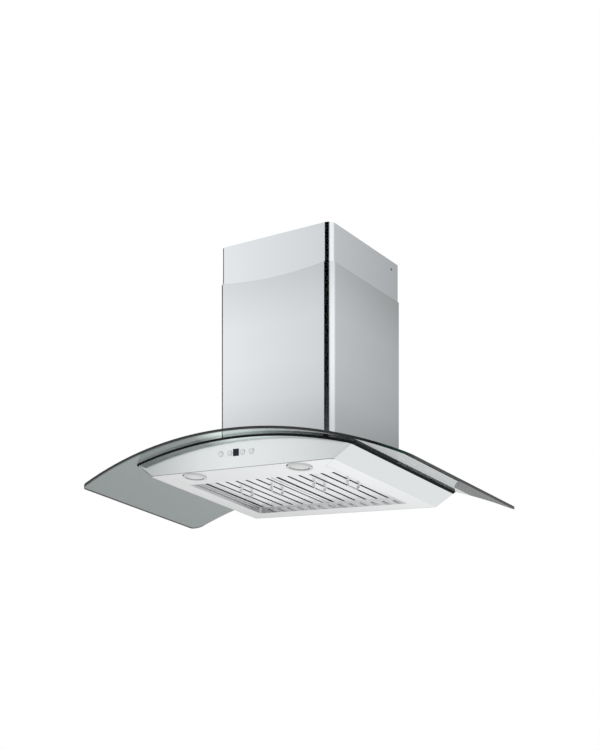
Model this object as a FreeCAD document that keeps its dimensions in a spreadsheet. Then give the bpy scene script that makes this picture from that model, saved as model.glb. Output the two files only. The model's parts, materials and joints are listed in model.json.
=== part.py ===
"""Curved glass range hood for a wall.

Millimetres. The origin lies on the wall plane, in the middle of the hood's width, at the level of the
underside. +X is to the right as one faces the hood, +Y points into the wall and +Z up. The glass, the gasket
and the top plate are slices of cylinders about one axis that runs from front to back far below the hood.
"""

import FreeCAD, Part
import math
import os
import re
import Sketcher

Vector = FreeCAD.Vector
Placement = FreeCAD.Placement
Rotation = FreeCAD.Rotation

# Dimensions: name, value or what it follows from, what it is.
SIZES = [
    ("glass_width", 900, "glass, from tip to tip"),
    ("glass_depth", 500, "glass, from the wall to the middle of its front edge"),
    ("glass_thickness", 6, "pane"),
    ("glass_radius", 1060, "upper face of the bent pane"),
    ("glass_top", 84, "crown of the pane above the underside of the body"),
    ("glass_bow", 10, "how far the front edge bows forward of its corners"),
    ("glass_front_corner", 16, "radius of the front corners in plan"),
    ("glass_rear_corner", 28, "radius of the rear corners in plan"),
    ("gasket_thickness", 6, "foam strip between the body and the glass"),
    ("gasket_width", 14, "foam strip"),
    ("body_width", 506, "underside of the body"),
    ("body_depth", 457, "body, from the wall to the front panel"),
    ("flare_angle", 54.8, "how far the side panels lean outwards from upright, degrees"),
    ("panel_bend", 11, "outer radius of the bends between the front and side panels"),
    ("sheet", 1.2, "steel sheet of the body"),
    ("seam", 0.4, "visible gap between neighbouring sheets"),
    ("seat_gap", 0.3, "clearance of a piece that rests on a curved one"),
    ("recess_width", 412, "opening for the filters"),
    ("recess_front", "=body_depth - 100", "front edge of that opening, from the wall"),
    ("recess_rear", 50, "rear edge of that opening, from the wall"),
    ("recess_corner", 6, "radius of its corners"),
    ("recess_wall", 34, "height of the walls round the filters"),
    ("ledge_depth", 8, "ledge that carries the rear edge of the filters"),
    ("filter_height", 14, "underside of the filters above the underside of the body"),
    ("filter_thickness", 16, "filter frame"),
    ("filter_gap", 2, "between the two filters"),
    ("filter_play", 1.5, "between a filter and the recess wall"),
    ("filter_border", 10, "width of the frame that shows round the baffles"),
    ("filter_corner", 5, "radius of the corners of the frame"),
    ("filter_sheet", 0.8, "steel sheet of the filters"),
    ("baffle_pitch", 29.5, "from slot to slot"),
    ("slot_width", 7, "slot between two lower baffles"),
    ("baffle_rise", 6, "height of a baffle's turned edges"),
    ("upper_baffle", 19, "width of an upper baffle"),
    ("bail_span", 42, "between the middles of a bail's legs"),
    ("bail_wire", 3.5, "diameter of the bail wire"),
    ("bail_drop", 10, "from the pivot to the grip of a bail"),
    ("bail_pivot", 9, "height of the bails' pivots above the underside"),
    ("bail_place", 221, "middle of the bails from the wall"),
    ("bail_clearance", 0.1, "radial play of the wire in its ears"),
    ("ear_width", 8, "lug of an ear"),
    ("ear_sheet", 1.5, "lug of an ear"),
    ("ear_foot", 16, "foot of an ear, across the slot"),
    ("control_height", 38, "middle of the controls above the underside"),
    ("button_radius", 7, "cap of a push button"),
    ("button_near", 17.5, "inner buttons from the middle of the display"),
    ("button_far", 42.5, "outer buttons from the middle of the display"),
    ("button_proud", 1.5, "cap in front of the panel"),
    ("button_play", 0.3, "round a button and behind the panel"),
    ("button_stem", 6, "square stem of a button"),
    ("button_reach", 11, "length of a button behind the panel's face"),
    ("display_width", 16, "display window"),
    ("display_tall", 17, "display window"),
    ("control_width", 120, "control box"),
    ("control_deep", 26, "control box"),
    ("control_tall", 32, "control box"),
    ("control_gap", 7, "from the panel's face to the control box"),
    ("control_wall", 1.5, "control box"),
    ("light_spacing", "=body_width - 216", "between the two lamps"),
    ("light_place", "=body_depth - 37", "lamps from the wall"),
    ("light_radius", 30, "lamp ring"),
    ("light_bore", 23, "lamp ring"),
    ("light_sleeve", 26, "radius of the ring's sleeve"),
    ("light_proud", 2.5, "ring below the panel"),
    ("light_tall", 10, "sleeve above the panel's lower face"),
    ("puck_tall", 16, "lamp module"),
    ("box_width", 244, "blower box"),
    ("box_depth", 284, "blower box, from the wall"),
    ("box_top", 330, "top of the blower box"),
    ("box_flange", 16, "flange of the blower box on the top plate"),
    ("notch_gap", 6, "between the blower box and the glass"),
    ("notch_corner", 15, "radius of the corners of the notch in the glass"),
    ("wall_hole_radius", 4.5, "holes that hang the hood"),
    ("wall_hole_across", 180, "between those holes"),
    ("wall_hole_above", 150, "between those holes"),
    ("wall_hole_low", 140, "lower pair of those holes"),
    ("lower_hole_radius", 3, "holes that steady the body on the wall"),
    ("lower_hole_across", 340, "between those holes"),
    ("lower_hole_height", 44, "those holes above the underside"),
    ("wheel_radius", 70, "impeller"),
    ("wheel_bore", 57, "inner radius of the impeller's blades"),
    ("wheel_width", 96, "impeller"),
    ("wheel_ring", 2, "thickness of the impeller's end rings"),
    ("wheel_disc", 1.5, "thickness of the impeller's middle disc"),
    ("wheel_back", 178, "impeller's axis from the wall"),
    ("wheel_height", 190, "impeller's axis above the underside"),
    ("blade_count", 24, "blades of the impeller"),
    ("blade_sheet", 1, "thickness of a blade"),
    ("blade_sweep", 20, "angle between a blade's two edges, degrees"),
    ("scroll_width", 112, "scroll casing"),
    ("scroll_sheet", 1, "scroll casing"),
    ("scroll_start", 76, "casing's distance from the axis at the cut-off"),
    ("scroll_end", 104, "casing's distance from the axis at the outlet"),
    ("scroll_cutoff", 70, "angle of the cut-off above the rear, degrees"),
    ("inlet_radius", 60, "inlets of the casing"),
    ("shaft_radius", 4, "motor shaft"),
    ("shaft_play", 0.05, "radial play of the shaft in its bearings"),
    ("shaft_length", 46, "motor shaft"),
    ("hub_radius", 9, "impeller hub"),
    ("hub_length", 24, "impeller hub"),
    ("motor_radius", 40, "motor can"),
    ("motor_length", 58, "motor can"),
    ("motor_start", 16, "motor can from the middle of the impeller"),
    ("bracket_sheet", 2, "motor bracket"),
    ("bracket_reach", 68, "arms of the motor bracket, from the axis"),
    ("bracket_arm", 12, "width of an arm"),
    ("collar_radius", 75, "duct collar, outside"),
    ("collar_sheet", 1.5, "duct collar"),
    ("collar_tall", 60, "duct collar"),
    ("collar_flange", 88, "outer radius of its flange"),
    ("collar_back", 142, "axis of the collar from the wall"),
    ("flap_height", 40, "pin of the flaps above the collar's foot"),
    ("flap_sheet", 0.8, "damper flap"),
    ("flap_play", 1.2, "round the flaps"),
    ("pin_radius", 2, "pin of the flaps"),
    ("pin_play", 0.06, "radial play of the knuckles on the pin"),
    ("knuckle_radius", 3.2, "knuckles of the flaps"),
    ("knuckle_width", 14, "knuckles of the flaps"),
    ("bead_sheet", 1.2, "bead inside the collar that stops the flaps"),
    ("gland_bore", 4.5, "radius of the cable's way through the gland"),
    ("gland_radius", 10, "nuts of the gland"),
    ("gland_thread", 8, "thread of the gland"),
    ("gland_across", 95, "gland, left of the middle"),
    ("gland_back", 36, "gland from the wall"),
    ("cover_width", 315, "lower cover"),
    ("cover_depth", 305, "lower cover"),
    ("cover_top", 523, "top of the lower cover at its sides"),
    ("cover_sheet", 1, "steel sheet of the covers"),
    ("cover_corner", 20, "radius of the upright corners of the lower cover"),
    ("cover_sag", 10, "how far the top edge of its front dips"),
    ("cover_play", 2, "between the two covers"),
    ("upper_top", 618, "top of the upper cover"),
    ("upper_length", 378, "upper cover"),
    ("pad_size", 20, "sliding pads between the covers"),
    ("pad_play", 0.3, "between a pad and the upper cover"),
    ("pad_drop", 8, "pads below the top of the lower cover"),
    ("clip_low", 100, "clips that hold the lower cover, above the underside"),
    ("clip_tall", 35, "those clips"),
    ("clip_width", 40, "those clips"),
    ("clip_back", 150, "middle of those clips from the wall"),
    ("clip_play", 0.2, "between a clip and the cover"),
    ("bracket_height", 25, "wall bracket of the upper cover"),
    ("bracket_drop", 8, "wall bracket below the top of the upper cover"),
    ("bracket_arm_length", 40, "arms of the wall bracket"),
    ("bracket_hole_across", 180, "between the holes of the wall bracket"),
    ("bracket_hole_radius", 3, "holes of the wall bracket"),
    ("glass_screw_across", "=box_width / 4 + cover_width / 4", "screws of the glass from the middle"),
    ("glass_screw_front", 240, "front screws of the glass from the wall"),
    ("glass_screw_rear", 60, "rear screws of the glass from the wall"),
    ("glass_hole", 3.5, "radius of the holes in the glass"),
    ("bush_radius", 7.5, "rubber bushes under the glass"),
    ("bush_play", 0.05, "between a bush and the bent pane"),
    ("screw_radius", 2.5, "screws of the glass"),
    ("screw_head", 11, "across the flats of their heads"),
    ("screw_play", 0.2, "radial play of a screw in its hole"),
    ("thread_play", 0.05, "radial play of a screw in its thread"),
    ("motor_screw", 2, "screws of the motor"),
    ("cover_screw", 1.5, "screws of the upper cover, with heads lower than the gap between the covers"),
]
NAMES = [name for name, _, _ in SIZES]

doc = FreeCAD.newDocument("RangeHood")
sheet = doc.addObject("Spreadsheet::Sheet", "sizes")
for row, (name, number, note) in enumerate(SIZES, 1):
    sheet.set(f"A{row}", name)
    sheet.set(f"B{row}", str(number))
    sheet.set(f"C{row}", note)
    sheet.setAlias(f"B{row}", name)
doc.recompute()

# Lengths that follow from the driving dimensions, written as expressions.
ARCH_AXIS = "(glass_top - glass_radius)"
UNDER_GLASS = "(glass_radius - glass_thickness)"
SEAT = f"({UNDER_GLASS} - gasket_thickness)"
UNDER_PLATE = f"({SEAT} - sheet)"
BLOCK = "(glass_top * 1.4)"
LEDGE_EDGE = "(recess_rear + ledge_depth)"
FILTER_WIDTH = "((recess_width - filter_gap) / 2 - 1)"
FILTER_CENTRE = f"(({FILTER_WIDTH} + filter_gap) / 2)"
FILTER_DEPTH = "(recess_front - recess_rear - 2 * filter_play)"
FILTER_BACK = "(recess_rear + filter_play)"
FILTER_TOP = "(filter_height + filter_thickness)"
CONTROL_FACE = "(body_depth - control_gap)"
COLLAR_FOOT = "box_top"
COVER_INSIDE = "(cover_width / 2 - cover_sheet)"
UPPER_HALF = "(cover_width / 2 - cover_sheet - cover_play)"
UPPER_DEPTH = "(cover_depth - cover_sheet - cover_play)"
UPPER_LOW = "(upper_top - upper_length)"

parts = {}


def cell(text):
    """The expression with each size's name written as a reference to the spreadsheet."""
    return re.sub(r"[a-z_]+", lambda m: "sizes." + m[0] if m[0] in NAMES else m[0], str(text))


def value(text):
    """What an expression comes to now."""
    return float(sheet.evalExpression(cell(text)))


def bind(obj, **expressions):
    """Binds properties of obj to expressions. A double underscore stands for a dot."""
    for name, text in expressions.items():
        obj.setExpression(name.replace("__", "."), cell(text))
    return obj


def place(obj, x="0", y="0", z="0", rotation=None):
    """Puts obj at a point, each coordinate an expression."""
    if rotation:
        obj.Placement = Placement(Vector(), rotation)
    return bind(obj, Placement__Base__x=x, Placement__Base__y=y, Placement__Base__z=z)


def keep(obj, label):
    """Names a finished piece."""
    obj.Label = label
    parts[label] = obj
    return obj


ALONG_X = Rotation(Vector(0, 1, 0), 90)
ALONG_Y = Rotation(Vector(1, 0, 0), -90)
FORWARD = Rotation(Vector(1, 0, 0), 90)
DOWN = Rotation(Vector(1, 0, 0), 180)


def box(name, x, y, z):
    """A block between pairs of coordinates."""
    obj = doc.addObject("Part::Box", name)
    bind(obj, Length=f"{x[1]} - ({x[0]})", Width=f"{y[1]} - ({y[0]})", Height=f"{z[1]} - ({z[0]})")
    return place(obj, x[0], y[0], z[0])


def rod(name, radius, length, x="0", y="0", z="0", rotation=None):
    """A cylinder that starts at a point and runs along Z, turned by rotation."""
    obj = doc.addObject("Part::Cylinder", name)
    bind(obj, Radius=radius, Height=length)
    return place(obj, x, y, z, rotation)


def cut(name, base, *tools):
    obj = doc.addObject("Part::Cut", name)
    obj.Base = base
    obj.Tool = tools[0] if len(tools) == 1 else fuse(name + "_tools", *tools)
    return obj


def fuse(name, *shapes):
    obj = doc.addObject("Part::MultiFuse", name)
    obj.Shapes = list(shapes)
    obj.Refine = True
    return obj


def common(name, *shapes):
    obj = doc.addObject("Part::MultiCommon", name)
    obj.Shapes = list(shapes)
    return obj


def group(name, objects):
    """Several separate solids of one kind under one name."""
    obj = doc.addObject("Part::Compound", name)
    obj.Links = list(objects)
    return obj


def feature(name, shape, placement=None):
    obj = doc.addObject("Part::Feature", name)
    obj.Shape = shape
    if placement:
        obj.Placement = placement
    return obj


def arch(name, radius, back="body_depth * 1.2", front="0"):
    """Everything within a radius of the arch's axis, from front to back of the hood."""
    return rod(name, radius, f"{back} - ({front})", y=f"-({back})", z=ARCH_AXIS, rotation=ALONG_Y)


def sketch(body, plane, points):
    """A closed outline of straight lines on one of the body's own planes, its corners bound to the sheet."""
    obj = body.newObject("Sketcher::SketchObject", body.Name + "_outline")
    support = next(f for f in body.Origin.OriginFeatures if f.Role == plane)
    obj.AttachmentSupport = (support, [""])
    obj.MapMode = "FlatFace"
    corners = [Vector(value(a), value(b), 0) for a, b in points]
    count = len(corners)
    lines = [Part.LineSegment(corners[i], corners[(i + 1) % count]) for i in range(count)]
    obj.addGeometry(lines, False)
    for i in range(count):
        obj.addConstraint(Sketcher.Constraint("Coincident", i, 2, (i + 1) % count, 1))
    for i, (across, up) in enumerate(points):
        for text, kind, axis in ((across, "DistanceX", -2), (up, "DistanceY", -1)):
            if text == "0":
                obj.addConstraint(Sketcher.Constraint("PointOnObject", i, 1, axis))
            else:
                index = obj.addConstraint(Sketcher.Constraint(kind, -1, 1, i, 1, value(text)))
                obj.setExpression(f"Constraints[{index}]", cell(text))
    return obj


def turned(name, points, x="0", y="0", z="0", rotation=None):
    """A turned piece: an outline of (radius, height) corners, revolved about the vertical."""
    body = doc.addObject("PartDesign::Body", name)
    outline = sketch(body, "XZ_Plane", points)
    revolution = body.newObject("PartDesign::Revolution", name + "_turn")
    revolution.Profile = outline
    revolution.ReferenceAxis = (outline, ["V_Axis"])
    revolution.Angle = 360
    body.Tip = revolution
    return place(body, x, y, z, rotation)


def extruded(name, plane, points, length, x="0", y="0", z="0"):
    """An outline padded square to its plane: XY upwards, XZ forwards, YZ to the right."""
    body = doc.addObject("PartDesign::Body", name)
    pad = body.newObject("PartDesign::Pad", name + "_pad")
    pad.Profile = sketch(body, plane, points)
    bind(pad, Length=length)
    body.Tip = pad
    return place(body, x, y, z)


def rounded(name, x, y, z, radius, which="all"):
    """A block with rounded upright edges, all four or only the front pair."""
    corners = [(x[0], y[0]), (x[1], y[0]), (x[1], y[1]), (x[0], y[1])]
    body = extruded(name, "XY_Plane", corners, f"{z[1]} - ({z[0]})", z=z[0])
    pad = body.Tip
    doc.recompute()
    front = value(y[0])
    edges = []
    for index, edge in enumerate(pad.Shape.Edges, 1):
        upright = abs(edge.tangentAt(edge.FirstParameter).z) > 0.99
        if upright and (which == "all" or abs(edge.CenterOfMass.y - front) < 0.01):
            edges.append(f"Edge{index}")
    fillet = body.newObject("PartDesign::Fillet", name + "_corners")
    fillet.Base = (pad, edges)
    bind(fillet, Radius=radius)
    body.Tip = fillet
    return body


def flared(name, inset, front, rear, bend=None):
    """The space inside the flared body, inset from its side, front and rear faces."""
    obj = doc.addObject("Part::Wedge", name)
    foot = f"(body_width / 2 - ({inset}) / cos(flare_angle))"
    head = f"({foot} + tan(flare_angle) * {BLOCK})"
    bind(obj, Xmin=f"-{foot}", Xmax=foot, X2min=f"-{head}", X2max=head, Ymin="0", Ymax=BLOCK)
    bind(obj, Zmin=rear, Z2min=rear, Zmax=f"body_depth - ({front})", Z2max=f"body_depth - ({front})")
    obj.Placement = Placement(Vector(), FORWARD)
    if bend is None:
        return obj
    doc.recompute()
    face = -value(f"body_depth - ({front})")
    radius = value(bend)
    edges = []
    for index, edge in enumerate(obj.Shape.Edges, 1):
        ends = [vertex.Point for vertex in edge.Vertexes]
        rises = abs(ends[0].z - ends[1].z) > 1
        if rises and all(abs(end.y - face) < 0.01 for end in ends):
            edges.append((index, radius, radius))
    fillet = doc.addObject("Part::Fillet", name + "_bends")
    fillet.Base = obj
    fillet.Edges = edges
    return fillet


def unbind(obj):
    """Frees a placement from the sheet, for a piece that is set square to the arch."""
    for name in ("x", "y", "z"):
        obj.setExpression(f"Placement.Base.{name}", None)


def hex_screw(name, radius, across_flats, length, seat="0"):
    """A screw along Z whose hexagonal head sits at a height and whose shank runs down from it."""
    shank = rod(f"{name}_shank", radius, length, z=f"{seat} - ({length})")
    head = doc.addObject("Part::Prism", f"{name}_head")
    head.Polygon = 6
    bind(head, Circumradius=f"{across_flats} / 2 / cos(30)", Height=f"{radius} * 1.2")
    place(head, z=seat)
    return fuse(name, shank, head)


def bent_wire(points, radius):
    """A round wire through points, with a sharp bend at each inner one."""
    section = Part.Wire(Part.Circle(points[0], points[1] - points[0], radius).toShape())
    return Part.makePolygon(points).makePipeShell([section], True, False, 1)


# ---------------------------------------------------------------------------------------------- body


def body_panels():
    """The front and side panels in one folded sheet, the rear panel and the arched top plate."""
    skin = cut(
        "skin",
        flared("skin_outside", "0", "0", "0", "panel_bend"),
        flared("skin_inside", "sheet", "sheet", "-1", "panel_bend - sheet"),
    )
    holes = [
        box(
            "display_opening",
            ("-display_width/2 - button_play", "display_width/2 + button_play"),
            ("-body_depth - 1", "-body_depth + 3"),
            (
                "control_height - display_tall/2 - button_play",
                "control_height + display_tall/2 + button_play",
            ),
        )
    ]
    for i, across in enumerate(BUTTONS, 1):
        hole = rod(f"button_hole_{i}", "button_radius + button_play", "6", across,
                   "-body_depth + 3", "control_height", FORWARD)
        holes.append(hole)
    trimmed = common("skin_trimmed", skin, arch("skin_arch", SEAT))
    keep(cut("body_shell_cut", trimmed, *holes), "body_shell")

    panel = common(
        "rear_blank",
        flared("rear_flare", "sheet + seam", "body_depth - sheet", "0"),
        arch("rear_arch", f"{UNDER_PLATE} - seat_gap"),
    )
    holes = []
    for side in ("-", ""):
        holes.append(rod("rear_hole", "lower_hole_radius", "6", f"{side}lower_hole_across/2", "3",
                         "lower_hole_height", FORWARD))
    keep(cut("rear_panel_cut", panel, *holes), "rear_panel")

    plate = common(
        "plate_blank",
        cut("plate_arch", arch("plate_outside", SEAT), arch("plate_inside", UNDER_PLATE)),
        flared("plate_flare", "sheet + seam", "sheet + seam", "0", "panel_bend - sheet"),
    )
    opening = box(
        "plate_opening",
        ("-box_width/2 + box_flange", "box_width/2 - box_flange"),
        ("-box_depth + box_flange", "-box_flange"),
        ("0", BLOCK),
    )
    tools = [opening]
    tools += radial_holes("plate_screw_hole", "screw_radius + thread_play", GLASS_SCREWS, UNDER_GLASS)
    keep(cut("top_plate_cut", plate, *tools), "top_plate")


def radial_placement(across, back, radius):
    """A place on a cylinder about the arch's axis, with Z pointing away from the axis."""
    lean = math.asin(value(across) / value(radius))
    height = value(ARCH_AXIS) + value(radius) * math.cos(lean)
    turn = Rotation(Vector(0, 1, 0), math.degrees(lean))
    return Placement(Vector(value(across), -value(back), height), turn)


def radial_holes(name, radius, places, level):
    """Drills square to the arch at each place."""
    drills = []
    for i, (across, back) in enumerate(places, 1):
        drill = Part.makeCylinder(value(radius), 40, Vector(0, 0, -20))
        drills.append(feature(f"{name}_{i}", drill, radial_placement(across, back, level)))
    return drills


def underside():
    """The rims round the recess, with its walls and the rear ledge, and the panel that holds the lamps."""
    plate = common(
        "rim_blank",
        flared("rim_flare", "sheet + seam", "sheet + seam", "sheet + seam", "panel_bend - sheet"),
        box("rim_slab", ("-body_width", "body_width"), ("-body_depth", "0"), ("0", "sheet")),
    )
    half = "recess_width/2"
    hole = rounded("recess", (f"-{half}", half), ("-recess_front", "-recess_rear"), ("0", "recess_wall"),
                   "recess_corner")
    around = rounded(
        "recess_outside",
        (f"-{half} - sheet", f"{half} + sheet"),
        ("-recess_front - sheet", "-recess_rear + sheet"),
        ("sheet", "recess_wall"),
        "recess_corner + sheet",
    )
    walls = cut("recess_walls", around, hole)
    rim = cut("rim_open", plate, hole)
    split = "-recess_front + recess_corner"

    def front_region(name, gap):
        """The plan of the lamp panel, mitred from the body's front corners to the recess."""
        corner = f"-body_depth + body_width/2 - {half}"
        return extruded(
            name,
            "XY_Plane",
            [
                (f"-body_width/2 - {gap} - 4", "-body_depth - 4"),
                (f"body_width/2 + {gap} + 4", "-body_depth - 4"),
                (f"{half} + {gap}", corner),
                (f"{half} + {gap}", f"{split} + {gap}"),
                (f"-{half} - {gap}", f"{split} + {gap}"),
                (f"-{half} - {gap}", corner),
            ],
            "recess_wall",
        )

    front_walls = common(
        "front_walls",
        walls,
        box("front_zone", ("-body_width", "body_width"), ("-body_depth", split), ("0", "recess_wall")),
    )
    lamp_holes = []
    for side in ("-", ""):
        lamp_holes.append(rod("lamp_hole", "light_sleeve + seam", "9", f"{side}light_spacing/2",
                              "-light_place", "-3"))
    panel = common("lamp_panel_blank", rim, front_region("front_plan", "0"))
    keep(
        cut("light_panel_cut", fuse("light_panel_joined", panel, front_walls), *lamp_holes), "light_panel"
    )

    rear_walls = cut(
        "rear_walls",
        walls,
        box("front_cut", ("-body_width", "body_width"), ("-body_depth", f"{split} + seam"),
            ("0", "recess_wall")),
    )
    strip = box("ledge_strip", ("-body_width", "body_width"),
                (f"-{LEDGE_EDGE} + sheet/2", "-recess_rear + 1"), ("filter_height - sheet", "filter_height"))
    hem = rod("ledge_hem", "sheet/2", "recess_width", f"-{half}", f"-{LEDGE_EDGE} + sheet/2",
              "filter_height - sheet/2", ALONG_X)
    ledge = common("ledge", hole, fuse("ledge_folded", strip, hem))
    rails = cut("rails", rim, front_region("front_plan_wide", "seam"))
    keep(fuse("underside_joined", rails, rear_walls, ledge), "underside_frame")


def glass():
    """The bent pane with its notch for the blower box, the gasket, the bushes and the screws."""
    bow_radius = "((glass_width/2)^2 + glass_bow^2) / (2 * glass_bow)"
    plan = common(
        "pane_plan",
        box("pane_block", ("-glass_width/2", "glass_width/2"), ("-glass_depth - 1", "0"),
            ("-glass_width", BLOCK)),
        rod("pane_bow", bow_radius, f"glass_width + {BLOCK}", y=f"-glass_depth + {bow_radius}",
            z="-glass_width"),
    )
    doc.recompute()
    corners = []
    for index, edge in enumerate(plan.Shape.Edges, 1):
        if abs(edge.tangentAt(edge.FirstParameter).z) > 0.99 and abs(edge.CenterOfMass.x) > 1:
            rear = edge.CenterOfMass.y > -1
            radius = value("glass_rear_corner" if rear else "glass_front_corner")
            corners.append((index, radius, radius))
    blank = doc.addObject("Part::Fillet", "pane_corners")
    blank.Base = plan
    blank.Edges = corners
    bent = cut(
        "pane_arch",
        arch("pane_outside", "glass_radius", "glass_depth + 5", "-5"),
        arch("pane_inside", UNDER_GLASS, "glass_depth + 5", "-5"),
    )
    reach = "(box_width/2 + notch_gap)"
    notch = rounded("notch", (f"-{reach}", reach), ("-box_depth - notch_gap", "9"), ("0", BLOCK),
                    "notch_corner", "front")
    holes = radial_holes("glass_hole", "glass_hole", GLASS_SCREWS, UNDER_GLASS)
    keep(cut("glass_cut", common("pane", bent, blank), notch, *holes), "glass_canopy")

    strip = cut(
        "gasket_ring",
        flared("gasket_outside", "0", "0", "0", "panel_bend"),
        flared("gasket_inside", "gasket_width", "gasket_width", "gasket_width"),
        box("gasket_gap", (f"-{reach}", reach), ("-body_depth/2", "1"), ("0", BLOCK)),
    )
    layer = cut("gasket_layer", arch("gasket_upper", UNDER_GLASS), arch("gasket_lower", SEAT))
    keep(common("gasket", strip, layer), "glass_gasket")

    bore = "screw_radius + screw_play"
    bush_outline = [
        (bore, "-gasket_thickness"),
        ("bush_radius", "-gasket_thickness"),
        ("bush_radius", "-bush_play"),
        (bore, "-bush_play"),
    ]
    bushes, screws = [], []
    for across, back in GLASS_SCREWS:
        spot = radial_placement(across, back, UNDER_GLASS)
        bush = turned("glass_bush", bush_outline)
        screw = hex_screw("glass_screw", "screw_radius", "screw_head",
                          "glass_thickness + gasket_thickness + 6", "glass_thickness")
        for piece, kept in ((bush, bushes), (screw, screws)):
            unbind(piece)
            piece.Placement = spot
            kept.append(piece)
    keep(group("bush_group", bushes), "glass_bushes")
    keep(group("screw_group", screws), "glass_screws")


# ------------------------------------------------------------------------------------------ controls

BUTTONS = ("-button_far", "-button_near", "button_near", "button_far")


def controls():
    """Four push buttons, the display window and the box behind them."""
    flange = "button_radius + 1.5"
    foot = "-sheet - button_play"
    outline = [
        ("0", "button_proud"),
        ("button_radius", "button_proud"),
        ("button_radius", foot),
        (flange, foot),
        (flange, f"{foot} - 1.2"),
        ("0", f"{foot} - 1.2"),
    ]
    for i, across in enumerate(BUTTONS, 1):
        cap = turned(f"button_cap_{i}", outline, across, "-body_depth", "control_height", FORWARD)
        stem = box(
            f"button_stem_{i}",
            (f"{across} - button_stem/2", f"{across} + button_stem/2"),
            ("-body_depth + sheet", "-body_depth + button_reach"),
            ("control_height - button_stem/2", "control_height + button_stem/2"),
        )
        keep(fuse(f"button_joined_{i}", cap, stem), f"button_{i}")

    def block(name, width, tall, low, high):
        """A block centred on the controls, between two depths behind the panel's face."""
        return box(
            name,
            (f"-({width})/2", f"({width})/2"),
            (f"-body_depth + {low}", f"-body_depth + {high}"),
            (f"control_height - ({tall})/2", f"control_height + ({tall})/2"),
        )

    window = fuse(
        "window",
        block("window_front", "display_width", "display_tall", "(-0.3)", "(sheet + 1)"),
        block("window_flange", "display_width", "display_tall + 8", "sheet", "(sheet + 1.2)"),
    )
    keep(window, "display_window")

    wall = "control_wall"
    case = block("case_outside", "control_width", "control_tall", "control_gap",
                 "(control_gap + control_deep)")
    inside = block("case_inside", f"control_width - 2*{wall}", f"control_tall - 2*{wall}",
                   f"(control_gap + {wall})", f"(control_gap + control_deep - {wall})")
    opening = block("case_opening", "display_width", "display_tall", "(control_gap - 1)",
                    "(control_gap + 3)")
    tools = [inside, opening]
    reach = "(button_stem/2 + button_play)"
    for across in BUTTONS:
        tools.append(box("stem_hole", (f"{across} - {reach}", f"{across} + {reach}"),
                         (f"-{CONTROL_FACE} - 1", f"-{CONTROL_FACE} + 3"),
                         (f"control_height - {reach}", f"control_height + {reach}")))
    posts = []
    for side in ("-", ""):
        posts.append(rod("case_post", "3", "control_gap - sheet", f"{side}(control_width/2 - 4)",
                         "-body_depth + sheet", "control_height", ALONG_Y))
    keep(fuse("case", cut("case_shell", case, *tools), *posts), "control_box")

    board_at = "button_reach + 6"
    pieces = [
        block("board_plate", f"control_width - 2*{wall} - 0.2", f"control_tall - 2*{wall} - 0.2",
              f"({board_at})", f"({board_at} + 1.6)"),
        block("display_module", "display_width - 1", "display_tall - 1", "(sheet + 1.5)",
              f"({board_at})"),
    ]
    for across in BUTTONS:
        pieces.append(box(
            "switch",
            (f"{across} - 3", f"{across} + 3"),
            ("-body_depth + button_reach + button_proud + button_play", f"-body_depth + {board_at}"),
            ("control_height - 3", "control_height + 3"),
        ))
    keep(fuse("board", *pieces), "control_board")


# ------------------------------------------------------------------------------------------- lamps


def lamps():
    """Two lamps in the front strip: ring, lens and lamp module."""
    ring = [
        ("light_bore", "light_tall"),
        ("light_bore", "-light_proud"),
        ("light_radius - 1", "-light_proud"),
        ("light_radius", "0"),
        ("light_sleeve", "0"),
        ("light_sleeve", "light_tall"),
    ]
    lens = [
        ("0", "3"),
        ("light_bore - 0.3", "3"),
        ("light_bore - 0.3", "0"),
        ("light_bore - 8", "-1.6"),
        ("0", "-2"),
    ]
    puck = [
        ("0", "light_tall"),
        ("light_sleeve", "light_tall"),
        ("light_sleeve - 1", "light_tall + puck_tall"),
        ("0", "light_tall + puck_tall"),
    ]
    for side, sign in (("left", "-"), ("right", "")):
        for name, outline in (("light_ring", ring), ("light_lens", lens), ("light_module", puck)):
            piece = turned(f"{name}_turned_{side}", outline, f"{sign}light_spacing/2", "-light_place")
            keep(piece, f"{name}_{side}")


# ----------------------------------------------------------------------------------------- filters


def u_profile(width, low, rise, up):
    """Corners of a folded channel, its base at low and its edges turned up or down."""
    sign = "+" if up else "-"
    half = f"({width})/2"
    inner = f"({width})/2 - filter_sheet"
    base, lip, floor = low, f"{low} {sign} {rise}", f"{low} {sign} filter_sheet"
    return [
        (f"-{half}", base), (half, base), (half, lip), (inner, lip),
        (inner, floor), (f"-({inner})", floor), (f"-({inner})", lip), (f"-{half}", lip),
    ]


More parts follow.
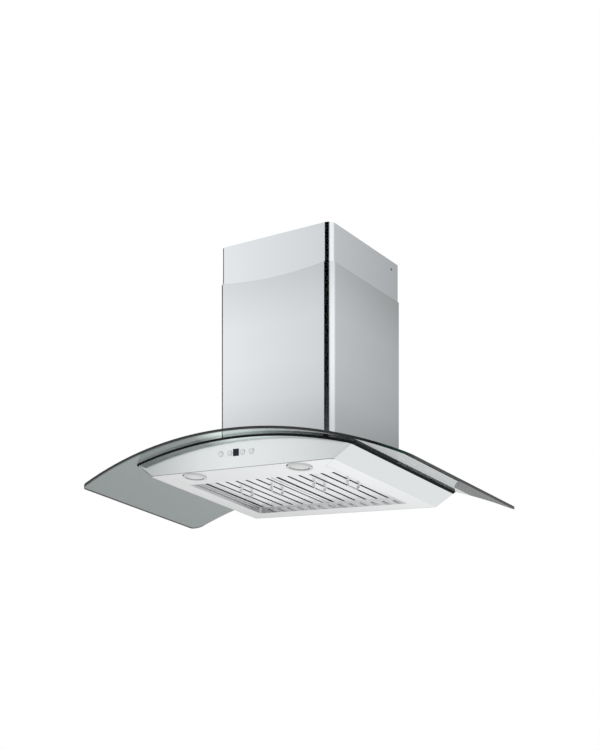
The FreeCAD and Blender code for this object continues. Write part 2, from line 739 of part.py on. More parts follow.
def baffle_filter(side, sign):
    """A frame of folded channel with lower baffles between the slots and upper ones over them."""
    centre = f"({sign}{FILTER_CENTRE})"

    def layer(name, inset, low, high):
        """The plan of the filter, inset all round, between two heights."""
        return rounded(
            name,
            (f"-{FILTER_WIDTH}/2 + {inset}", f"{FILTER_WIDTH}/2 - {inset}"),
            (f"-{FILTER_BACK} - {FILTER_DEPTH} + {inset}", f"-{FILTER_BACK} - {inset}"),
            (low, high),
            "filter_corner - filter_sheet" if inset != "0" else "filter_corner",
        )

    frame = cut(
        f"frame_{side}",
        layer(f"frame_outside_{side}", "0", "filter_height", FILTER_TOP),
        layer(f"frame_inside_{side}", "filter_sheet", "filter_height + filter_sheet",
              f"{FILTER_TOP} - filter_sheet"),
        box(
            f"frame_window_{side}",
            (f"-{FILTER_WIDTH}/2 + filter_border", f"{FILTER_WIDTH}/2 - filter_border"),
            (f"-{FILTER_BACK} - {FILTER_DEPTH} + filter_border", f"-{FILTER_BACK} - filter_border"),
            ("0", f"{FILTER_TOP} + 1"),
        ),
    )
    keep(place(frame, centre), f"filter_frame_{side}")

    length = f"{FILTER_DEPTH} - 2 * filter_sheet - 1"
    back = f"-{FILTER_BACK} - filter_sheet - 0.5"
    slots = 7
    lower = u_profile("baffle_pitch - slot_width", "filter_height + filter_sheet", "baffle_rise", True)
    upper = u_profile("upper_baffle", f"{FILTER_TOP} - filter_sheet", "baffle_rise", False)
    strips = []
    for outline, count, kept in ((lower, slots - 1, "lower"), (upper, slots, "upper")):
        row = []
        for i in range(count):
            across = f"{centre} + baffle_pitch * ({2 * i - count + 1}) / 2"
            row.append(extruded(f"{kept}_baffle_{side}", "XZ_Plane", outline, length, across, back))
        strips.append(keep(group(f"{kept}_row_{side}", row), f"{kept}_baffles_{side}"))

    ears = []
    for bail, slot in enumerate(BAIL_SLOTS, 1):
        across = f"{centre} + baffle_pitch * ({slot})"
        for end in ("-", "+"):
            middle = f"-bail_place {end} (bail_span/2 + bail_wire/2 + ear_sheet)"
            foot = box("ear_foot", (f"{across} - ear_foot/2", f"{across} + ear_foot/2"),
                       (f"{middle} - 4", f"{middle} + 4"),
                       ("filter_height + filter_sheet - 1", "filter_height + filter_sheet"))
            lug = box("ear_lug", (f"{across} - ear_width/2", f"{across} + ear_width/2"),
                      (f"{middle} - ear_sheet/2", f"{middle} + ear_sheet/2"),
                      ("bail_pivot - ear_width/2", "filter_height + filter_sheet - 0.5"))
            drill = rod("ear_hole", "bail_wire/2 + bail_clearance", "20", across,
                        f"{middle} - 10", "bail_pivot", ALONG_Y)
            ears.append(cut("ear", fuse("ear_blank", foot, lug), drill))
        x, y, z = value(across), value("-bail_place"), value("bail_pivot")
        leg, tip = value("bail_span") / 2, value("bail_span/2 + bail_wire/2 + ear_sheet*1.5 + 2")
        low = z - value("bail_drop")
        route = [(-tip, z), (-leg, z), (-leg, low), (leg, low), (leg, z), (tip, z)]
        wire = bent_wire([Vector(x, y + along, up) for along, up in route], value("bail_wire/2"))
        keep(feature(f"bail_wire_{side}_{bail}", wire), f"bail_{side}_{bail}")
    keep(group(f"ears_{side}", ears), f"bail_ears_{side}")


BAIL_SLOTS = (-1, 2)


def filter_springs():
    """Leaf springs on the front wall of the recess, two to a filter."""
    springs = []
    for sign in ("-", ""):
        for offset in ("-", "+"):
            middle = f"{sign}{FILTER_CENTRE} {offset} 60"
            springs.append(extruded(
                "leaf_spring",
                "YZ_Plane",
                [
                    ("-recess_front", "filter_height + 1"),
                    ("-recess_front + 0.4", "filter_height + 1"),
                    ("-recess_front + 0.4", "filter_height + 4"),
                    ("-recess_front + 0.7", f"{FILTER_TOP} - 7"),
                    ("-recess_front + 0.4", f"{FILTER_TOP} - 2"),
                    ("-recess_front", f"{FILTER_TOP} - 2"),
                ],
                "12",
                f"{middle} - 6",
            ))
    keep(group("springs", springs), "filter_springs")


# ------------------------------------------------------------------------------------------ blower

GLASS_SCREWS = [
    (f"{side}glass_screw_across", back)
    for side in ("-", "")
    for back in ("glass_screw_front", "glass_screw_rear")
]


def blower_box():
    """Four folded panels that hang on the wall, each with its flange on the top plate, and the lid."""
    half, wall = "box_width/2", "(box_width/2 - sheet)"
    inner = "(box_width/2 - box_flange)"
    ring = cut("flange_ring", arch("flange_outside", f"{SEAT} + sheet"),
               arch("flange_inside", SEAT, front="-1"))
    plans = {
        "rear": ((f"-{half}", half), ("-sheet", "0"), (f"-{inner}", inner), ("-box_flange", "-sheet")),
        "front": ((f"-{half}", half), ("-box_depth", "-box_depth + sheet"),
                  (f"-{inner}", inner), ("-box_depth + sheet", "-box_depth + box_flange")),
    }
    for name, sign in (("left", "-"), ("right", "")):
        across = [f"{sign}{edge}" for edge in (half, wall, inner)]
        depth = ("-box_depth + sheet", "-sheet")
        panel, lip = sorted(across[:2], key=value), sorted(across[1:], key=value)
        plans[name] = (tuple(panel), depth, tuple(lip), depth)
    panels = []
    for name, (x, y, lip_x, lip_y) in plans.items():
        panel = cut(f"{name}_panel", box(f"{name}_sheet", x, y, ("0", "box_top - sheet")),
                    arch(f"{name}_foot", SEAT, front="-1"))
        lip = common(f"{name}_lip", ring, box(f"{name}_strip", lip_x, lip_y, ("0", BLOCK)))
        panels.append(fuse(f"{name}_folded", panel, lip))
    holes = []
    for side in ("-", ""):
        for up in ("wall_hole_low", "wall_hole_low + wall_hole_above"):
            holes.append(rod("wall_hole", "wall_hole_radius", "6", f"{side}wall_hole_across/2", "3",
                             up, FORWARD))
    panels[0] = cut("rear_drilled", panels[0], *holes)
    keep(group("box_panels", panels), "blower_box")

    lid = cut(
        "lid",
        box("lid_sheet", (f"-{half}", half), ("-box_depth", "0"), ("box_top - sheet", "box_top")),
        rod("outlet_hole", "collar_radius - collar_sheet", "6", "0", "-collar_back", "box_top - 3"),
        rod("gland_hole", "gland_thread + screw_play", "6", "-gland_across", "-gland_back",
            "box_top - 3"),
    )
    keep(lid, "blower_lid")


def scroll_outline(inset, rise):
    """The casing's side: a spiral round the impeller and a straight throat up to the outlet."""
    axis_y, axis_z = -value("wheel_back"), value("wheel_height")
    start, end, cutoff = value("scroll_start"), value("scroll_end"), value("scroll_cutoff")
    steps = 20
    points = []
    for i in range(steps + 1):
        share = i / steps
        angle = math.radians(cutoff + (360 - cutoff) * share)
        reach = start + (end - start) * share - inset
        points.append(Vector(0, axis_y + reach * math.cos(angle), axis_z + reach * math.sin(angle)))
    spiral = [Part.LineSegment(a, b) for a, b in zip(points, points[1:])]
    top = value("box_top - sheet") + rise
    inner = Vector(0, points[0].y + 2 * inset, top)
    outer = Vector(0, points[-1].y, top)
    sides = [Part.LineSegment(points[-1], outer), Part.LineSegment(outer, inner)]
    low = Vector(0, inner.y, points[0].z)
    sides.append(Part.LineSegment(inner, low))
    if low.distanceToPoint(points[0]) > 0.001:
        sides.append(Part.LineSegment(low, points[0]))
    return Part.Face(Part.Wire([side.toShape() for side in spiral + sides]))


def blower():
    """Scroll casing, impeller, hub, shaft, motor and its bracket."""
    width, wall = value("scroll_width"), value("scroll_sheet")
    back, up = -value("wheel_back"), value("wheel_height")
    right = Vector(1, 0, 0)

    def disc(radius, thickness, x, bore=0.0):
        """A disc or ring about the impeller's axis, from x to the right."""
        shape = Part.makeCylinder(radius, thickness, Vector(x, back, up), right)
        if bore:
            shape = shape.cut(Part.makeCylinder(bore, thickness, Vector(x, back, up), right))
        return shape

    casing = scroll_outline(0, 0).extrude(Vector(width, 0, 0))
    casing.translate(Vector(-width / 2, 0, 0))
    hollow = scroll_outline(wall, 1).extrude(Vector(width - 2 * wall, 0, 0))
    hollow.translate(Vector(-width / 2 + wall, 0, 0))
    inlet = disc(value("inlet_radius"), width + 2, -width / 2 - 1)
    keep(feature("casing", casing.cut([hollow, inlet])), "scroll_casing")

    outer, inner = value("wheel_radius"), value("wheel_bore")
    sweep = math.radians(value("blade_sweep"))
    thick = value("blade_sheet")
    length = value("wheel_width - 2")

    def at(radius, angle):
        return Vector(-length / 2, back + radius * math.cos(angle), up + radius * math.sin(angle))

    count = int(value("blade_count"))
    wheel_wide = value("wheel_width")
    ring, plate = value("wheel_ring"), value("wheel_disc")
    wheel = disc(outer, plate, -plate / 2, value("hub_radius + 0.2"))
    rings = [
        disc(outer, ring, -wheel_wide / 2, inner - 1),
        disc(outer, ring, wheel_wide / 2 - ring, inner - 1),
    ]
    blades = []
    gap = thick / outer
    for i in range(count):
        angle = 2 * math.pi * i / count
        corners = [
            at(inner, angle),
            at(outer - 0.3, angle + sweep),
            at(outer - 0.3, angle + sweep + gap),
            at(inner, angle + gap),
        ]
        outline = Part.makePolygon(corners + corners[:1])
        blades.append(Part.Face(outline).extrude(Vector(length, 0, 0)))
    keep(feature("wheel", wheel.multiFuse(rings + blades)), "impeller")

    hub = [
        ("shaft_radius", "-hub_length/2"),
        ("hub_radius", "-hub_length/2"),
        ("hub_radius", "hub_length/2 - 1"),
        ("shaft_radius", "hub_length/2 - 1"),
    ]
    keep(turned("hub_turned", hub, "0", "-wheel_back", "wheel_height", ALONG_X), "impeller_hub")
    keep(
        rod("shaft", "shaft_radius", "shaft_length", "-hub_length/2 - 2", "-wheel_back", "wheel_height",
            ALONG_X),
        "motor_shaft",
    )

    bore = "shaft_radius + shaft_play"
    far = "motor_start + motor_length"
    can = turned(
        "can",
        [
            (bore, "motor_start - 4"),
            ("motor_radius * 0.3", "motor_start - 4"),
            ("motor_radius * 0.3", "motor_start"),
            ("motor_radius", "motor_start"),
            ("motor_radius", far),
            ("0", far),
            ("0", "shaft_length - hub_length/2"),
            (bore, "shaft_length - hub_length/2"),
        ],
        "0", "-wheel_back", "wheel_height", ALONG_X,
    )
    tapped, screws = [], []
    face = value(f"{far} + bracket_sheet")
    for i in range(3):
        turn = math.radians(90 + 120 * i)
        reach = value("motor_radius") - 10
        spot = Vector(face, back + reach * math.cos(turn), up + reach * math.sin(turn))
        drill = value("motor_screw + thread_play")
        tapped.append(feature("motor_tap", Part.makeCylinder(drill, 12, spot - right * 11, right)))
        screw = hex_screw("motor_screw", "motor_screw", "motor_screw * 3.5", "10")
        unbind(screw)
        screw.Placement = Placement(spot, ALONG_X)
        screws.append(screw)
    keep(cut("motor_cut", can, *tapped), "motor")
    keep(group("motor_screw_group", screws), "motor_screws")

    arms = [disc(value("motor_radius") + 3, value("bracket_sheet"), value(far))]
    reach, arm = value("bracket_reach"), value("bracket_arm")
    side = value("scroll_width") / 2
    for i in range(3):
        bar = Part.makeBox(value("bracket_sheet"), reach, arm, Vector(value(far), 0, -arm / 2))
        leg = Part.makeBox(face - side, 2, arm, Vector(side, reach - 2, -arm / 2))
        joined = bar.fuse(leg)
        joined.rotate(Vector(), right, 30 + 120 * i)
        joined.translate(Vector(0, back, up))
        arms.append(joined)
    cradle = arms[0].multiFuse(arms[1:]).cut([hole.Shape for hole in tapped])
    keep(feature("cradle", cradle.removeSplitter()), "motor_bracket")


def electrics():
    """Capacitor and its clip, junction box and lid, cable gland."""
    inside = "-box_width/2 + sheet"
    radius = 14
    middle = f"{inside} + {radius} + 1.2"
    keep(
        turned(
            "capacitor_turned",
            [("0", "0"), (f"{radius}", "0"), (f"{radius}", "54"), (f"{radius - 2}", "56"), ("0", "56")],
            middle, "-110", "215",
        ),
        "capacitor",
    )
    band = fuse(
        "clip_blank",
        rod("clip_ring", f"{radius + 1.2}", "12", middle, "-110", "236"),
        box("clip_foot", (inside, f"{inside} + 1.2"), ("-110 - 24", "-110 + 24"), ("236", "248")),
    )
    bore = rod("clip_bore", f"{radius + 0.1}", "14", middle, "-110", "235")
    keep(cut("clip_cut", band, bore), "capacitor_clip")

    y, z = ("-78", "-16"), ("248", "312")
    deep = f"{inside} + 30"
    case = cut(
        "junction_shell",
        box("junction_outside", (inside, deep), y, z),
        box("junction_inside", (f"{inside} + 1.5", f"{deep} + 1"), (f"{y[0]} + 1.5", f"{y[1]} - 1.5"),
            (f"{z[0]} + 1.5", f"{z[1]} - 1.5")),
        rod("junction_inlet", "6", "6", f"{inside} + 15", "-gland_back", f"{z[1]} - 3"),
    )
    keep(case, "junction_box")
    lid = rounded("junction_cover", (deep, f"{deep} + 1.5"), y, z, "0.5")
    keep(lid, "junction_lid")

    gland = turned(
        "gland_turned",
        [
            ("gland_bore", "-sheet - 6"),
            ("gland_radius", "-sheet - 6"),
            ("gland_radius", "-sheet"),
            ("gland_thread", "-sheet"),
            ("gland_thread", "0"),
            ("gland_radius", "0"),
            ("gland_radius - 2", "16"),
            ("gland_bore", "16"),
        ],
        "-gland_across", "-gland_back", "box_top",
    )
    keep(gland, "cable_gland")


def damper():
    """The duct collar with its two flaps on one pin."""
    inner = "collar_radius - collar_sheet"
    stop = "flap_height - flap_sheet/2 - seat_gap"
    collar = turned(
        "collar_turned",
        [
            (inner, "0"),
            ("collar_flange", "0"),
            ("collar_flange", "collar_sheet"),
            ("collar_radius", "collar_sheet"),
            ("collar_radius", "collar_tall"),
            (inner, "collar_tall"),
            (inner, stop),
            (f"{inner} - 3", stop),
            (f"{inner} - 3", f"{stop} - bead_sheet"),
            (inner, f"{stop} - bead_sheet"),
        ],
        "0", "-collar_back", COLLAR_FOOT,
    )
    level = f"{COLLAR_FOOT} + flap_height"
    drill = rod("pin_drill", "pin_radius", "collar_radius * 2", "-collar_radius", "-collar_back", level,
                ALONG_X)
    keep(cut("collar_cut", collar, drill), "duct_collar")
    keep(
        rod("pin", "pin_radius", "collar_radius * 2", "-collar_radius", "-collar_back", level, ALONG_X),
        "damper_pin",
    )
    edge = "knuckle_radius + 0.4"
    for name, sign, near in (("front", "-", "24"), ("rear", "", "4")):
        leaf = common(
            f"leaf_{name}",
            rod("leaf_disc", f"{inner} - flap_play", "flap_sheet", "0", "-collar_back",
                f"{level} - flap_sheet/2"),
            box(
                "leaf_half",
                ("-collar_radius", "collar_radius"),
                ("-collar_back - collar_radius", f"-collar_back - ({edge})")
                if sign else (f"-collar_back + {edge}", "-collar_back + collar_radius"),
                (f"{level} - 2", f"{level} + 2"),
            ),
        )
        pieces = [leaf]
        for side in ("-", ""):
            start = f"{side}({near}){' - knuckle_width' if side else ''}"
            pieces.append(rod("knuckle", "knuckle_radius", "knuckle_width", start, "-collar_back", level,
                              ALONG_X))
            span = ("-collar_back - 4.5", "-collar_back") if sign else ("-collar_back", "-collar_back + 4.5")
            pieces.append(box("tab", (start, f"{start} + knuckle_width"), span,
                              (f"{level} - flap_sheet/2", f"{level} + flap_sheet/2")))
        bore = rod("knuckle_bore", "pin_radius + pin_play", "collar_radius * 2", "-collar_radius",
                   "-collar_back", level, ALONG_X)
        keep(cut(f"flap_cut_{name}", fuse(f"flap_blank_{name}", *pieces), bore), f"damper_flap_{name}")


# ------------------------------------------------------------------------------------------ covers


def channel(name, half, depth, corner, low, high):
    """A cover folded from one sheet round the front and both sides, open to the wall."""
    outside = rounded(f"{name}_outside", (f"-{half}", half), (f"-{depth}", "0"), (low, high), corner,
                      "front")
    inside = rounded(
        f"{name}_inside",
        (f"-{half} + cover_sheet", f"{half} - cover_sheet"),
        (f"-{depth} + cover_sheet", "1"),
        (f"{low} - 1", f"{high} + 1"),
        f"{corner} - cover_sheet",
        "front",
    )
    return outside, inside


def covers():
    """The two chimney covers, the pads between them, the clips and the wall bracket."""
    outside, inside = channel("lower", "(cover_width/2)", "cover_depth", "cover_corner", "0",
                              "cover_top")
    flat = "(cover_width/2 - cover_corner)"
    sag_radius = f"(({flat}^2 + cover_sag^2) / (2 * cover_sag))"
    dip = common(
        "dip",
        rod("dip_round", sag_radius, "6", "0", "-cover_depth - 2", f"cover_top - cover_sag + {sag_radius}",
            ALONG_Y),
        box("dip_zone", (f"-{flat}", flat), ("-cover_depth - 3", "-cover_depth + 4"),
            ("cover_top - cover_sag - 1", "cover_top + 1")),
    )
    foot = arch("cover_foot", "glass_radius + seat_gap", front="-1")
    keep(cut("lower_cut", outside, inside, dip, foot), "lower_cover")

    outside, inside = channel("upper", UPPER_HALF, UPPER_DEPTH, "(cover_corner - cover_sheet - cover_play)",
                              UPPER_LOW, "upper_top")
    level = "upper_top - bracket_drop - bracket_height/2"
    arm_hole = "-bracket_arm_length + 12"
    drill = rod("side_drill", "cover_screw + screw_play", "cover_width", "-cover_width/2", arm_hole, level,
                ALONG_X)
    keep(cut("upper_cut", outside, inside, drill), "upper_cover")

    play = "(cover_sheet + 0.2)"
    strip_z = ("upper_top - bracket_drop - bracket_height", "upper_top - bracket_drop")
    half = f"({UPPER_HALF} - {play})"
    outer = box("strip_outside", (f"-{half}", half), ("-bracket_arm_length", "0"), strip_z)
    inner = box("strip_inside", (f"-{half} + 1.5", f"{half} - 1.5"), ("-bracket_arm_length - 1", "-1.5"),
                (f"{strip_z[0]} - 1", f"{strip_z[1]} + 1"))
    drill = rod("arm_drill", "cover_screw + thread_play", "cover_width", "-cover_width/2", arm_hole, level,
                ALONG_X)
    tools = [inner, drill]
    for side in ("-", ""):
        tools.append(rod("strip_hole", "bracket_hole_radius", "6", f"{side}bracket_hole_across/2", "3",
                         level, FORWARD))
    keep(cut("strip_cut", outer, *tools), "wall_bracket")

    screws = []
    for side, turn in (("", 90), ("-", -90)):
        screw = hex_screw("cover_screw", "cover_screw", "cover_screw * 3.5", "6")
        screws.append(place(screw, f"{side}{UPPER_HALF}", arm_hole, level, Rotation(Vector(0, 1, 0), turn)))
    keep(group("cover_screw_group", screws), "upper_cover_screws")

    pads = []
    pad_z = ("cover_top - pad_drop - pad_size", "cover_top - pad_drop")
    for start, end in ((f"-{COVER_INSIDE}", f"-{UPPER_HALF} - pad_play"),
                       (f"{UPPER_HALF} + pad_play", COVER_INSIDE)):
        for back in ("60", "cover_depth - 65"):
            pads.append(box("side_pad", (start, end), (f"-({back}) - pad_size/2", f"-({back}) + pad_size/2"),
                            pad_z))
    for side in ("-", ""):
        pads.append(box(
            "front_pad",
            (f"{side}cover_width/3.5 - pad_size/2", f"{side}cover_width/3.5 + pad_size/2"),
            ("-cover_depth + cover_sheet", f"-{UPPER_DEPTH} - pad_play"),
            (f"{pad_z[0]} - cover_sag", f"{pad_z[1]} - cover_sag"),
        ))
    keep(group("pads", pads), "sliding_pads")

    clips = []
    y = ("-clip_back - clip_width/2", "-clip_back + clip_width/2")
    for near, far in (("-box_width/2", f"-{COVER_INSIDE} + clip_play"),
                      ("box_width/2", f"{COVER_INSIDE} - clip_play")):
        out = "-" if near.startswith("-") else "+"
        ends = sorted((near, far), key=value)
        floor = box("clip_floor", tuple(ends), y, ("clip_low", "clip_low + 1.5"))
        tabs = []
        for start, back in ((near, out), (far, "-" if out == "+" else "+")):
            pair = sorted((start, f"{start} {back} 1.5"), key=value)
            tabs.append(box("clip_tab", tuple(pair), y, ("clip_low", "clip_low + clip_tall")))
        clips.append(fuse("clip_piece", floor, *tabs))
    keep(group("clips", clips), "cover_clips")


# --------------------------------------------------------------------------------------------- make

body_panels()
underside()
glass()
controls()
lamps()
baffle_filter("left", "-")
baffle_filter("right", "")
filter_springs()
blower_box()
blower()
electrics()
damper()
covers()

doc.recompute()
for obj in doc.Objects:
    if "Invalid" in obj.State or "Error" in obj.State:
        raise RuntimeError(f"{obj.Label} could not be built: {obj.State}")
for label, obj in parts.items():
    shape = obj.Shape
    if shape.isNull() or not shape.isValid() or not shape.Solids or shape.Volume <= 0:
        raise RuntimeError(f"{label} has no valid solid")

os.makedirs("parts", exist_ok=True)
for label, obj in parts.items():
    obj.Shape.exportStep(f"parts/{label}.step")
print(f"{len(parts)} pieces, {sum(len(obj.Shape.Solids) for obj in parts.values())} solids")
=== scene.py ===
"""Looks of a wall-mounted range hood with a bent glass canopy.

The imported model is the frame. It is in metres, with its origin on the wall plane under the hood's
middle, +X to the right, +Y into the wall and +Z up. Each operator dresses one group of pieces.
"""

import json
import math

import bmesh
import bpy
from bpy.props import FloatProperty, FloatVectorProperty, PointerProperty
from mathutils import Matrix, Vector


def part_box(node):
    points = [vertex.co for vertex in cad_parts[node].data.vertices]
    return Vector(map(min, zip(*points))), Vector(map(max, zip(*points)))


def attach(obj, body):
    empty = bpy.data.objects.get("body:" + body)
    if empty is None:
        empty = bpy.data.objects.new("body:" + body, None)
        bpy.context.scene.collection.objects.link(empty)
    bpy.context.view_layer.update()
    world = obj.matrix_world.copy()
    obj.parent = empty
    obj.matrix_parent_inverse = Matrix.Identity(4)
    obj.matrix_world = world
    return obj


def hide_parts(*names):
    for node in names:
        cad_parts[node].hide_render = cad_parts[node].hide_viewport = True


bl_info = {
    "name": "Glass Range Hood",
    "version": (1, 0, 0),
    "blender": (4, 5, 0),
    "location": "View3D > Sidebar > Hood",
    "description": "Dresses a range hood with a bent glass canopy",
    "category": "Object",
}

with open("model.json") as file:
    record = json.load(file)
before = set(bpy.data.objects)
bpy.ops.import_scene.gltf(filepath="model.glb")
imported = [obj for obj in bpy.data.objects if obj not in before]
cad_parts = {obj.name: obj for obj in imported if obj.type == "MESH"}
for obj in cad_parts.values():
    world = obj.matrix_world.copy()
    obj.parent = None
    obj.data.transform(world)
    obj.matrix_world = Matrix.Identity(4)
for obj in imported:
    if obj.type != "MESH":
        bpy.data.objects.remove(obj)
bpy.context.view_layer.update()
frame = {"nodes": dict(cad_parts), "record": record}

SIDES = ("left", "right")
BAILS = [f"bail_{side}_{number}" for side in SIDES for number in (1, 2)]
ZINC_NODES = (
    "rear_panel",
    "top_plate",
    "blower_box",
    "blower_lid",
    "cover_clips",
    "wall_bracket",
    "capacitor_clip",
    "scroll_casing",
    "motor_bracket",
)

# ------------------------------------------------------------------------------------- properties


def colour(name, description, default):
    """A colour property."""
    return FloatVectorProperty(
        name=name,
        description=description,
        subtype="COLOR",
        size=3,
        min=0.0,
        max=1.0,
        default=default,
    )


def length(name, description, default):
    """A length property in metres."""
    return FloatProperty(
        name=name, description=description, unit="LENGTH", default=default, min=0.0
    )


class HoodFinishes(bpy.types.PropertyGroup):
    """Colours of the hood's finishes."""

    panel_steel: colour("Panel steel", "Brushed steel of the body", (0.78, 0.81, 0.82))
    rim_steel: colour("Rim steel", "Brushed steel of the underside", (0.93, 0.94, 0.95))
    cover_steel: colour("Cover steel", "Brushed steel of the covers", (0.79, 0.82, 0.845))
    filter_steel: colour("Filter steel", "Satin steel of the filters", (0.92, 0.93, 0.94))
    zinc: colour("Zinc", "Zinc-coated sheet inside the hood", (0.52, 0.55, 0.58))
    glass_tint: colour("Glass tint", "What passes through the pane", (0.225, 0.255, 0.25))
    # Painted light: the colour of the light band painted on the pane before the chimney.
    glass_painted_light: colour("Glass band", "The pane where it is lightest", (0.80, 0.92, 0.87))
    glass_edge: colour("Glass edge", "The pane through its edge", (0.008, 0.035, 0.027))
    rubber: colour("Rubber", "Seal under the glass", (0.012, 0.012, 0.013))
    grain: FloatProperty(
        name="Grain",
        description="Lines of brushing per metre",
        default=900.0,
        min=50.0,
        max=4000.0,
    )


class HoodDetails(bpy.types.PropertyGroup):
    """Sizes of the small forms."""

    wire_bend: length("Wire bend", "Radius of the bends of a bail's wire", 0.0035)
    button_round: length("Button rounding", "Rounded rim of a push button", 0.0012)
    glass_bow: length(
        "Glass bow", "How far the pane's front edge bows forward of its corners", 0.010
    )


class HoodStage(bpy.types.PropertyGroup):
    """The floor, the lights and the camera."""

    floor_height: FloatProperty(
        name="Floor height",
        description="Level of the floor below the hood",
        unit="LENGTH",
        default=-1.6,
    )
    lens: FloatProperty(
        name="Lens",
        description="Focal length in millimetres",
        unit="CAMERA",
        default=69.95,
        min=10.0,
    )
    lamp_power: FloatProperty(
        name="Lamp power", description="Power of the key lamp", unit="POWER", default=26.0, min=0.0
    )


# -------------------------------------------------------------------------------------- materials

# A Mix node's sockets when it mixes colours: its inputs' places, and its output's.
MIX_SHARE, MIX_FIRST, MIX_SECOND = 0, 6, 7
MIX_COLOUR = 2
BLACK = (0.0, 0.0, 0.0)
LINE_CHANGES = 4.0  # how often a brushed line changes along a metre of it


class Value:
    """A shader socket that can be used in Python expressions."""

    def __init__(self, finish, socket):
        self.finish = finish
        self.socket = socket

    def math(self, operation, *operands):
        """A Math node on these operands."""
        inputs = dict(enumerate(operands))
        return self.finish.node("Math", {"operation": operation}, inputs)

    def __add__(self, other):
        return self.math("ADD", self, other)

    def __radd__(self, other):
        return self.math("ADD", other, self)

    def __sub__(self, other):
        return self.math("SUBTRACT", self, other)

    def __rsub__(self, other):
        return self.math("SUBTRACT", other, self)

    def __mul__(self, other):
        return self.math("MULTIPLY", self, other)

    def __rmul__(self, other):
        return self.math("MULTIPLY", other, self)

    def __truediv__(self, other):
        return self.math("DIVIDE", self, other)

    def __rtruediv__(self, other):
        return self.math("DIVIDE", other, self)

    def __pow__(self, other):
        return self.math("POWER", self, other)

    def __gt__(self, other):
        return self.math("GREATER_THAN", self, other)

    def __lt__(self, other):
        return self.math("LESS_THAN", self, other)

    def __or__(self, other):
        return self.math("MAXIMUM", self, other)

    def __abs__(self):
        return self.math("ABSOLUTE", self)


class Finish:
    """The nodes of a material, or of a world, built one at a time."""

    def __init__(self, name, world=None):
        self.owner = world or bpy.data.materials.new(name)
        self.owner.use_nodes = True
        self.tree = self.owner.node_tree
        self.tree.nodes.clear()

    def node(self, kind, settings=None, inputs=None, output=0):
        """Adds a node, first its settings and then its sockets' values and links."""
        node = self.tree.nodes.new("ShaderNode" + kind)
        for key, setting in (settings or {}).items():
            if key == "stops":
                self.set_stops(node.color_ramp, setting)
            else:
                setattr(node, key, setting)
        for key, value in (inputs or {}).items():
            if isinstance(value, Value):
                self.tree.links.new(value.socket, node.inputs[key])
            else:
                node.inputs[key].default_value = value
        return Value(self, node.outputs[output]) if node.outputs else node

    @staticmethod
    def set_stops(ramp, stops):
        """Gives a ramp its stops, each a place and a grey level."""
        while len(ramp.elements) < len(stops):
            ramp.elements.new(0.5)
        for element, (position, level) in zip(ramp.elements, stops):
            element.position = position
            element.color = (level, level, level, 1.0)

    def ramp(self, share, *stops):
        """The level at a share of the way through the stops."""
        return self.node("ValToRGB", {"stops": stops}, {"Fac": share})

    def part(self, vector, axis):
        """One coordinate of a vector."""
        return self.node("SeparateXYZ", inputs={"Vector": vector}, output=axis)

    def place(self):
        """Where on the hood a spot is."""
        return self.node("TexCoord", output="Object")

    def facing(self, axis):
        """How squarely a face looks along an axis, from -1 to 1."""
        return self.part(self.node("NewGeometry", output="Normal"), axis)

    def along(self, axis, start, end):
        """How far from start to end a spot is along an axis, from 0 to 1."""
        sockets = {"Value": self.part(self.place(), axis), "From Min": start, "From Max": end}
        return self.node("MapRange", inputs=sockets)

    def ray(self, kind):
        """Whether the light path is of a kind."""
        return self.node("LightPath", output=f"Is {kind} Ray")

    def noise(self, scale, detail=2.0, stretch=(1.0, 1.0, 1.0), roughness=0.5):
        """Noise over the object, squeezed along each axis by stretch."""
        spot = self.node("Mapping", inputs={"Vector": self.place(), "Scale": stretch})
        sockets = {"Vector": spot, "Scale": scale, "Detail": detail, "Roughness": roughness}
        return self.node("TexNoise", inputs=sockets)

    def blend(self, share, first, second):
        """A colour between two."""
        first, second = (c if isinstance(c, Value) else (*c, 1.0) for c in (first, second))
        sockets = {MIX_SHARE: share, MIX_FIRST: first, MIX_SECOND: second}
        return self.node("Mix", {"data_type": "RGBA"}, sockets, MIX_COLOUR)

    def bump(self, height, strength, distance):
        """A direction that makes height look raised."""
        sockets = {"Height": height, "Strength": strength, "Distance": distance}
        return self.node("Bump", inputs=sockets)

    def surface(self, **sockets):
        """Ends the material in one principled shader. Names are written with underscores."""
        inputs = {name.replace("_", " "): value for name, value in sockets.items()}
        shader = self.node("BsdfPrincipled", inputs=inputs)
        self.node("OutputMaterial", inputs={"Surface": shader})
        return self.owner


def shade(tint, factor):
    """A darker or lighter colour."""
    return tuple(min(1.0, channel * factor) for channel in tint)


def brushed_steel(name, tint, grain, roughness, depth, marks, painted_shade=None):
    """Steel brushed in level lines, which run along X on flat faces.

    marks is how much duller its smudges are, and the last argument gives the painted shade: how
    much darker each spot is.
    """
    finish = Finish(name)
    slow = LINE_CHANGES / grain
    upright_lines = finish.noise(grain, 3.0, (slow, slow, 1.0), 0.65)
    flat_lines = finish.noise(grain, 3.0, (slow, 1.0, slow), 0.65)
    flat = abs(finish.facing("Z")) > 0.8
    lines = upright_lines * (1 - flat) + flat_lines * flat
    clouds = finish.noise(5.0, 3.0, (1.0, 1.0, 1.6))
    smudges = finish.ramp(finish.noise(16.0, 5.0, roughness=0.6), (0.35, 0.0), (0.75, 1.0))
    rough = roughness + (lines - 0.5) * 0.08 + (clouds - 0.5) * 0.03 + smudges * marks
    tone = finish.blend(lines, shade(tint, 0.97), shade(tint, 1.02))
    tone = finish.blend(clouds * 0.08, tone, shade(tint, 0.93))
    # Painted shade: each spot is darkened towards black by the share that the last argument gives.
    if painted_shade:
        tone = finish.blend(painted_shade(finish), tone, BLACK)
    normal = finish.bump(lines, strength=depth, distance=0.00004)
    return finish.surface(Base_Color=tone, Metallic=1.0, Roughness=rough, Normal=normal)


